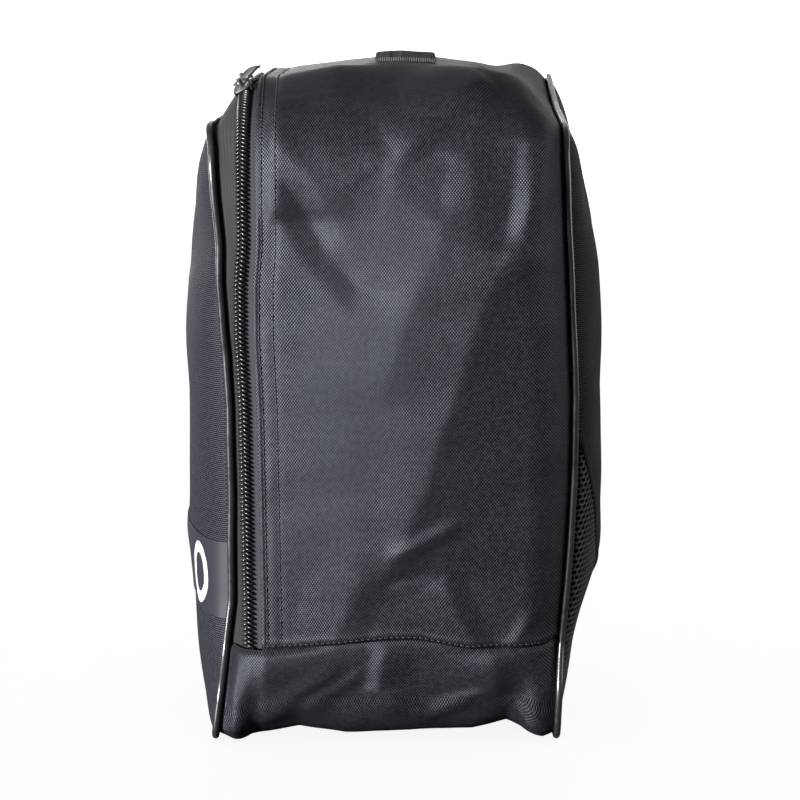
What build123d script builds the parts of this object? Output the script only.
from build123d import *
from math import atan2, cos, radians, sin, tan
import os

# An upright shoe bag. X runs across its narrow end, from the zip door on the left (-X) to the
# vented side on the right (+X). Y runs from the front end to the back end, and Z is up.
# The origin is the middle of the base, at floor level. Every length is in millimetres.

# Body
body_depth = 210.0           # front end to back end
body_height = 324.0          # floor to the flat of the top panel
seam_x = 84.0                # the two piped seams stand this far from the middle
fold_x = 60.0                # the end and top panel is flat to here, then slopes to the seam
seam_inset = 14.0            # how far the piped seams stand back from the flat panel
seam_lift = 4.0              # height of the piped seams over the floor
base_seam_z = 53.0           # seam between the base and the panel, and the fold of the door
top_radius = 50.0
foot_radius = 22.0
least_radius = 14.0
skin = 1.2                   # thickness of a fabric panel
half_depth = body_depth / 2

# Bulging sides: how far out from the seam, and how far each outline has drawn in by then
bulge_steps = ((0.0, 0.0), (11.0, 10.0), (19.0, 26.0), (22.4, 48.0))
seam_slope_share = 1.35      # how much the outline closes at the seam for each mm of thickness
face_slope_share = 0.5       # the same, further out

# Piping and its seam tape
cord_flange = 0.6
bead_radius = 1.7
bead_out = 0.9               # how far the bead stands outside the seam
bead_proud = 1.9             # and how far it stands proud of it
bead_x = seam_x + bead_out
bead_inset = seam_inset - bead_proud
flange_reach = 8.0           # how far the flange runs into the bag from the seam
binding_skin = 0.5
binding_depth = 5.0
panel_x = seam_x + cord_flange

# Zip door
door_gap = 0.3               # slit left along the fold, so that the two panels don't rub
hinge_x = -(panel_x + bulge_steps[-1][0])
coil_from_fold = 9.2         # the fold of the panel to the middle of the coil
coil_gap = 2.0               # room for the slider's post between the two rows
coil_width = 2.2
coil_rise = 2.2
tape_thickness = 0.8
tape_tuck = 7.0              # tape sewn under the folded edge of the panel

# Sliders and pulls
slider_width = 9.6
slider_length = 11.0
slider_corner = 2.4
plate = 1.2
plate_gap = 0.6              # slider to coil
lower_plate = 1.0
lower_gap = 0.8              # slider to tape
flange_thickness = 1.0
flange_length = 8.0
post_width = 1.1
post_length = 2.4
post_y = 3.4
bridge_width = 2.0
bridge_length = 5.2
bridge_height = 3.4
bridge_eye_length = 3.5
bridge_eye_height = 2.4
pull_pivot = 1.3             # pivot over the top plate
pull_thickness = 1.2
pull_width = 8.4
pull_length = 14.5
pull_tip_width = 7.4
pull_window_width = 6.0
pull_window_start = 0.45
pull_window_end = 4.05
pull_yaw = 30.0
front_slider_angle = 72.0    # 0 on the front end, 90 on the top
top_angle = 90.0
rear_slider_y = -49.5

# Label and handle
label_low = 55.0
label_high = 93.0
label_skin = 0.6
label_half_depth = 88.0
handle_x = 10.0
handle_width = 30.0
handle_skin = 1.8
handle_half_length = 54.0
handle_sewn = 15.0
handle_rise = 6.0
backing_skin = 1.0
backing_margin = 1.0

# Mesh vent in the right side: its upper edge sweeps from the front seam down to the base
vent_start = (-98.0, 236.0)
vent_middle = (-72.0, 110.0)
vent_end = (84.0, 12.0)
vent_corner = (-112.0, -8.0)  # the vent's outline is closed outside the bag

# The sloping strip that carries the zip, seen from above at the front end
strip_run = seam_x - fold_x
strip_angle = atan2(seam_inset, strip_run)
corner_y = top_radius - half_depth
corner_z = body_height - top_radius


def outline(x, inset, lift):
    """Side view of the bag at one x, standing back from its ends and top by inset."""
    depth = half_depth - inset
    top = body_height - inset
    foot_round = max(foot_radius - lift, least_radius)
    top_round = max(top_radius - inset, least_radius)
    corners = ((-depth, lift), (depth, lift), (depth, top), (-depth, top))
    with BuildSketch(Plane.YZ.offset(x)) as section:
        with BuildLine():
            FilletPolyline(*corners, radius=(foot_round, foot_round, top_round, top_round), close=True)
        make_face()
    return section.sketch


def body_form(shrink):
    """The closed form between the two piped seams, drawn in by shrink."""
    flat = [outline(side * fold_x, shrink, shrink) for side in (-1, 1)]
    seams = [outline(side * seam_x, seam_inset + shrink, seam_lift + shrink) for side in (-1, 1)]
    with BuildPart() as form:
        loft(flat, ruled=True)
        for flat_edge, seam in zip(flat, seams):
            loft([flat_edge, seam], ruled=True)
    return form.part


def bulge_form(side, swell):
    """One bulging side, from its seam outwards, grown by swell."""
    sections = []
    for reach, draw_in in bulge_steps:
        at_seam = reach == 0
        x = panel_x + reach + (0 if at_seam else swell)
        closing = draw_in - swell * (seam_slope_share if at_seam else face_slope_share)
        sections.append(outline(side * x, seam_inset + closing, seam_lift + closing))
    with BuildPart() as form:
        loft(sections, ruled=True)
    return form.part


def seam_run(inset, lift, over_top, start_z):
    """Path along a seam from the front, over the top or round the foot, to the back."""
    depth = half_depth - inset
    end_z = body_height - inset if over_top else lift
    corner_radius = top_radius - inset if over_top else foot_radius - lift
    corners = ((-depth, start_z), (-depth, end_z), (depth, end_z), (depth, start_z))
    with BuildLine(Plane.YZ) as run:
        FilletPolyline(*corners, radius=corner_radius)
    return run.line


def piping_section(side, z):
    """A bead with its sewn-in flange, cut across at the front end."""
    flange_start = bead_inset + bead_radius / 2
    flange_end = seam_inset + flange_reach
    flange_x = side * (seam_x + cord_flange / 2)
    flange_y = (flange_start + flange_end) / 2 - half_depth
    with BuildSketch(Plane.XY.offset(z)) as section:
        with Locations((side * bead_x, bead_inset - half_depth)):
            Circle(bead_radius)
        with Locations((flange_x, flange_y)):
            Rectangle(cord_flange, flange_end - flange_start)
    return section.sketch


def binding_section(side, z):
    """A tape folded over the inner edge of the flange, cut across at the front end."""
    flange_x = side * (seam_x + cord_flange / 2)
    flange_y = seam_inset + flange_reach - half_depth
    outer_width = cord_flange + 2 * binding_skin
    outer_depth = binding_depth + binding_skin
    from_edge = (Align.CENTER, Align.MAX)
    with BuildSketch(Plane.XY.offset(z)) as section:
        with Locations((flange_x, flange_y + binding_skin)):
            Rectangle(outer_width, outer_depth, align=from_edge)
        with Locations((flange_x, flange_y)):
            Rectangle(cord_flange, binding_depth, align=from_edge, mode=Mode.SUBTRACT)
    return section.sketch


def strip_point(along, proud):
    """A point of the zip strip at the front end: along it from the fold, and proud of it."""
    x = -fold_x - along * cos(strip_angle) - proud * sin(strip_angle)
    y = -half_depth + along * sin(strip_angle) - proud * cos(strip_angle)
    return (x, y)


def reach_seam(proud):
    """The point of the zip strip where it meets the seam, at one height over the strip."""
    return strip_point((strip_run - proud * sin(strip_angle)) / cos(strip_angle), proud)


def strip_section(points, z):
    """A flat face across the zip strip."""
    with BuildSketch(Plane.XY.offset(z)) as section:
        with BuildLine():
            Polyline(*points, close=True)
        make_face()
    return section.sketch


def zip_run(start_z):
    """Path of the zip, over the top from the front to the back."""
    return seam_run(coil_from_fold * sin(strip_angle), 0, True, start_z)


def coil_section(direction, z):
    """One row of the coil: direction is -1 beside the panel and 1 beside the door."""
    near = coil_from_fold + direction * coil_gap / 2
    far = near + direction * coil_width
    floor = -skin
    crest = floor + coil_rise
    corners = ((near, floor), (far, floor), (far, crest), (near, crest))
    return strip_section([strip_point(*corner) for corner in corners], z)


def strip_plane(angle, y_shift):
    """Frame on the coil's middle, angle degrees round the front top corner, or y_shift past it.

    Its X points from the door to the panel, its Y along the zip and its Z out of the bag.
    """
    turn = radians(angle)
    x, y = strip_point(coil_from_fold, 0)
    coil_radius = corner_y - y
    origin = (x, corner_y - coil_radius * cos(turn) + y_shift, corner_z + coil_radius * sin(turn))
    across = (cos(strip_angle), -sin(strip_angle) * cos(turn), sin(strip_angle) * sin(turn))
    outwards = (-sin(strip_angle), -cos(strip_angle) * cos(turn), cos(strip_angle) * sin(turn))
    return Plane(origin=origin, x_dir=across, z_dir=outwards)


coil_crest = coil_rise - skin
plate_low = coil_crest + plate_gap
plate_top = plate_low + plate
lower_top = -skin - tape_thickness - lower_gap


def slider_body(at, nose):
    """A zip slider on the plane at, with its post towards nose along the zip."""
    with BuildPart() as body:
        with BuildSketch(at.offset(plate_low)):
            RectangleRounded(slider_width, slider_length, slider_corner)
        extrude(amount=plate)
        with BuildSketch(at.offset(lower_top)):
            RectangleRounded(slider_width, slider_length, slider_corner)
        extrude(amount=-lower_plate)
        with BuildSketch(at.offset(plate_low)):
            with GridLocations(slider_width - flange_thickness, 0, 2, 1):
                Rectangle(flange_thickness, flange_length)
        extrude(amount=-(plate_low + skin / 2))
        with BuildSketch(at.offset(lower_top)):
            with Locations((0, nose * post_y)):
                Rectangle(post_width, post_length)
        extrude(amount=plate_low - lower_top)
        with BuildSketch(Plane(origin=at.origin, x_dir=at.y_dir, z_dir=at.x_dir)):
            with Locations((0, plate_top + bridge_height / 2)):
                Rectangle(bridge_length, bridge_height)
            with Locations((0, plate_top + bridge_eye_height / 2)):
                Rectangle(bridge_eye_length, bridge_eye_height, mode=Mode.SUBTRACT)
        extrude(amount=bridge_width / 2, both=True)
    return body.part


def pull_plane(at):
    """Frame on a slider's pivot, turned towards the panel."""
    turn = radians(pull_yaw)
    pivot = at.origin + at.z_dir * (plate_top + pull_pivot)
    return Plane(origin=pivot, x_dir=at.x_dir * cos(turn) - at.y_dir * sin(turn), z_dir=at.z_dir)


def pull_tab(at):
    """A tab whose end bar goes through the eye of a slider's bridge."""
    frame = pull_plane(at)
    half_width = pull_width / 2
    half_tip = pull_tip_width / 2
    tip_straight = pull_length - half_tip / 2
    left_tip = (-half_tip, tip_straight)
    right_tip = (half_tip, tip_straight)
    with BuildPart() as tab:
        with BuildSketch(frame.offset(-pull_thickness / 2)):
            with BuildLine():
                sides = Polyline(left_tip, (-half_width, 0), (half_width, 0), right_tip)
                ThreePointArc(sides @ 1, (0, pull_length), sides @ 0)
            make_face()
            with Locations((0, (pull_window_start + pull_window_end) / 2)):
                Rectangle(pull_window_width, pull_window_end - pull_window_start, mode=Mode.SUBTRACT)
        extrude(amount=pull_thickness)
        with BuildSketch(Plane(origin=frame.origin, x_dir=frame.y_dir, z_dir=frame.x_dir)):
            Circle(pull_thickness / 2)
        extrude(amount=half_width, both=True)
    return tab.part


finished = []


def finish(name, part):
    """Label a piece and keep it for writing."""
    part.label = name
    finished.append(part)


# Panel that wraps the front end, the top and the back end, from the zip's fold to the right seam
with BuildPart() as gusset_panel:
    add(body_form(0))
    add(body_form(skin), mode=Mode.SUBTRACT)
    split(bisect_by=Plane.XY.offset(base_seam_z), keep=Keep.TOP)
    split(bisect_by=Plane.YZ.offset(-fold_x), keep=Keep.TOP)
finish("gusset_panel", gusset_panel.part)

# Band below it: the foot of both ends and the floor of the bag
with BuildPart() as base_gusset:
    add(body_form(0))
    add(body_form(skin), mode=Mode.SUBTRACT)
    split(bisect_by=Plane.XY.offset(base_seam_z), keep=Keep.BOTTOM)
finish("base_gusset", base_gusset.part)

# Region of the right side that the mesh fills
with BuildPart() as vent_region:
    with BuildSketch(Plane.YZ.offset(seam_x)):
        with BuildLine():
            ThreePointArc(vent_start, vent_middle, vent_end)
            Polyline(
                vent_end,
                (vent_end[0], vent_corner[1]),
                vent_corner,
                (vent_corner[0], vent_start[1]),
                vent_start,
            )
        make_face()
    extrude(amount=panel_x)

with BuildPart() as right_side_panel:
    add(bulge_form(1, 0))
    add(bulge_form(1, -skin), mode=Mode.SUBTRACT)
    add(vent_region.part, mode=Mode.SUBTRACT)
finish("right_side_panel", right_side_panel.part)

with BuildPart() as right_vent_mesh:
    add(bulge_form(1, 0))
    add(bulge_form(1, -skin), mode=Mode.SUBTRACT)
    add(vent_region.part, mode=Mode.INTERSECT)
finish("right_vent_mesh", right_vent_mesh.part)

# Left side: the door above the fold, and its foot below
with BuildPart() as left_side_panel:
    add(bulge_form(-1, 0))
    add(bulge_form(-1, -skin), mode=Mode.SUBTRACT)
    split(bisect_by=Plane.XY.offset(base_seam_z + door_gap), keep=Keep.TOP)
finish("left_side_panel", left_side_panel.part)

with BuildPart() as left_side_panel_base:
    add(bulge_form(-1, 0))
    add(bulge_form(-1, -skin), mode=Mode.SUBTRACT)
    split(bisect_by=Plane.XY.offset(base_seam_z), keep=Keep.BOTTOM)
finish("left_side_panel_base", left_side_panel_base.part)

# Piping in the two side seams, and the tape that binds their raw edges inside the bag
with BuildPart() as right_piping:
    for over_top in (True, False):
        sweep(piping_section(1, base_seam_z), path=seam_run(seam_inset, seam_lift, over_top, base_seam_z))
finish("right_piping", right_piping.part)

with BuildPart() as right_seam_binding:
    for over_top in (True, False):
        sweep(binding_section(1, base_seam_z), path=seam_run(seam_inset, seam_lift, over_top, base_seam_z))
finish("right_seam_binding", right_seam_binding.part)

for suffix, over_top, start_z in (("", True, base_seam_z + door_gap), ("_base", False, base_seam_z)):
    with BuildPart() as left_piping:
        sweep(piping_section(-1, start_z), path=seam_run(seam_inset, seam_lift, over_top, start_z))
    finish("left_piping" + suffix, left_piping.part)

    with BuildPart() as left_seam_binding:
        sweep(binding_section(-1, start_z), path=seam_run(seam_inset, seam_lift, over_top, start_z))
    finish("left_seam_binding" + suffix, left_seam_binding.part)

# Zip: the inner half is sewn to the panel, and the outer half to the door
bend = tan(strip_angle / 2)
tape_top = -skin
tape_floor = -skin - tape_thickness
inner_edge = coil_from_fold - coil_gap / 2
outer_edge = coil_from_fold + coil_gap / 2
inner_tape_points = (
    (tape_tuck - fold_x, -half_depth - tape_top),
    strip_point(-tape_top * bend, tape_top),
    strip_point(inner_edge, tape_top),
    strip_point(inner_edge, tape_floor),
    strip_point(-tape_floor * bend, tape_floor),
    (tape_tuck - fold_x, -half_depth - tape_floor),
)
outer_tape_points = (
    strip_point(outer_edge, tape_top),
    reach_seam(tape_top),
    reach_seam(tape_floor),
    strip_point(outer_edge, tape_floor),
)

with BuildPart() as zip_tape_inner:
    sweep(strip_section(inner_tape_points, base_seam_z), path=zip_run(base_seam_z))
finish("zip_tape_inner", zip_tape_inner.part)

with BuildPart() as zip_tape_outer:
    sweep(strip_section(outer_tape_points, base_seam_z + door_gap), path=zip_run(base_seam_z + door_gap))
finish("zip_tape_outer", zip_tape_outer.part)

with BuildPart() as zip_coil_inner:
    sweep(coil_section(-1, base_seam_z), path=zip_run(base_seam_z))
finish("zip_coil_inner", zip_coil_inner.part)

with BuildPart() as zip_coil_outer:
    sweep(coil_section(1, base_seam_z + door_gap), path=zip_run(base_seam_z + door_gap))
finish("zip_coil_outer", zip_coil_outer.part)

# Two sliders meet nose to nose at the front top corner, each with its own pull
front_at = strip_plane(front_slider_angle, 0)
rear_at = strip_plane(top_angle, rear_slider_y - corner_y)
for end, at, nose in (("front", front_at, 1), ("rear", rear_at, -1)):
    with BuildPart() as slider:
        add(slider_body(at, nose))
    finish("slider_" + end, slider.part)

    with BuildPart() as pull:
        add(pull_tab(at))
    finish("pull_" + end, pull.part)

# Label band across the foot of the door
with BuildPart() as label_band:
    add(bulge_form(-1, label_skin))
    add(bulge_form(-1, 0), mode=Mode.SUBTRACT)
    split(bisect_by=Plane.XY.offset(label_low), keep=Keep.TOP)
    split(bisect_by=Plane.XY.offset(label_high), keep=Keep.BOTTOM)
    split(bisect_by=Plane.XZ.offset(label_half_depth), keep=Keep.BOTTOM)
    split(bisect_by=Plane.XZ.offset(-label_half_depth), keep=Keep.TOP)
finish("label_band", label_band.part)

# Handle: webbing sewn flat at both ends and bowed between them
bow_end = handle_half_length - handle_sewn
webbing_z = body_height + handle_skin / 2
mid_rise_z = webbing_z + handle_rise / 2
with BuildPart() as handle_webbing:
    with BuildSketch(Plane.YZ.offset(handle_x)):
        with BuildLine():
            sewn = Line((-handle_half_length, webbing_z), (-bow_end, webbing_z))
            rise = TangentArc(sewn @ 1, (-bow_end / 2, mid_rise_z), tangent=sewn % 1)
            crest = TangentArc(rise @ 1, (0, webbing_z + handle_rise), tangent=rise % 1)
            fall = TangentArc(crest @ 1, (bow_end / 2, mid_rise_z), tangent=crest % 1)
            landing = TangentArc(fall @ 1, (bow_end, webbing_z), tangent=fall % 1)
            Line(landing @ 1, (handle_half_length, webbing_z))
        trace(line_width=handle_skin)
    extrude(amount=handle_width / 2, both=True)
finish("handle_webbing", handle_webbing.part)

# Patches inside the top panel that the handle is sewn through
backing_y = handle_half_length - handle_sewn / 2
backing_width = handle_width + 2 * backing_margin
for end, direction in (("front", -1), ("rear", 1)):
    with BuildPart() as backing:
        with BuildSketch(Plane.XY.offset(body_height - skin)):
            with Locations((handle_x, direction * backing_y)):
                Rectangle(backing_width, handle_sewn + 2 * backing_margin)
        extrude(amount=-backing_skin)
    finish("handle_backing_" + end, backing.part)

os.makedirs("parts", exist_ok=True)
for part in finished:
    export_step(part, f"parts/{part.label}.step")

# The joint axes, for reading beside the record
print("door hinge x, z:", hinge_x, base_seam_z)
print("front slider axis y, z:", corner_y, corner_z, "angle", front_slider_angle)
for end, at in (("front", front_at), ("rear", rear_at)):
    frame = pull_plane(at)
    print(end, "slider", tuple(at.origin), "pull pivot", tuple(frame.origin), "axis", tuple(frame.x_dir))
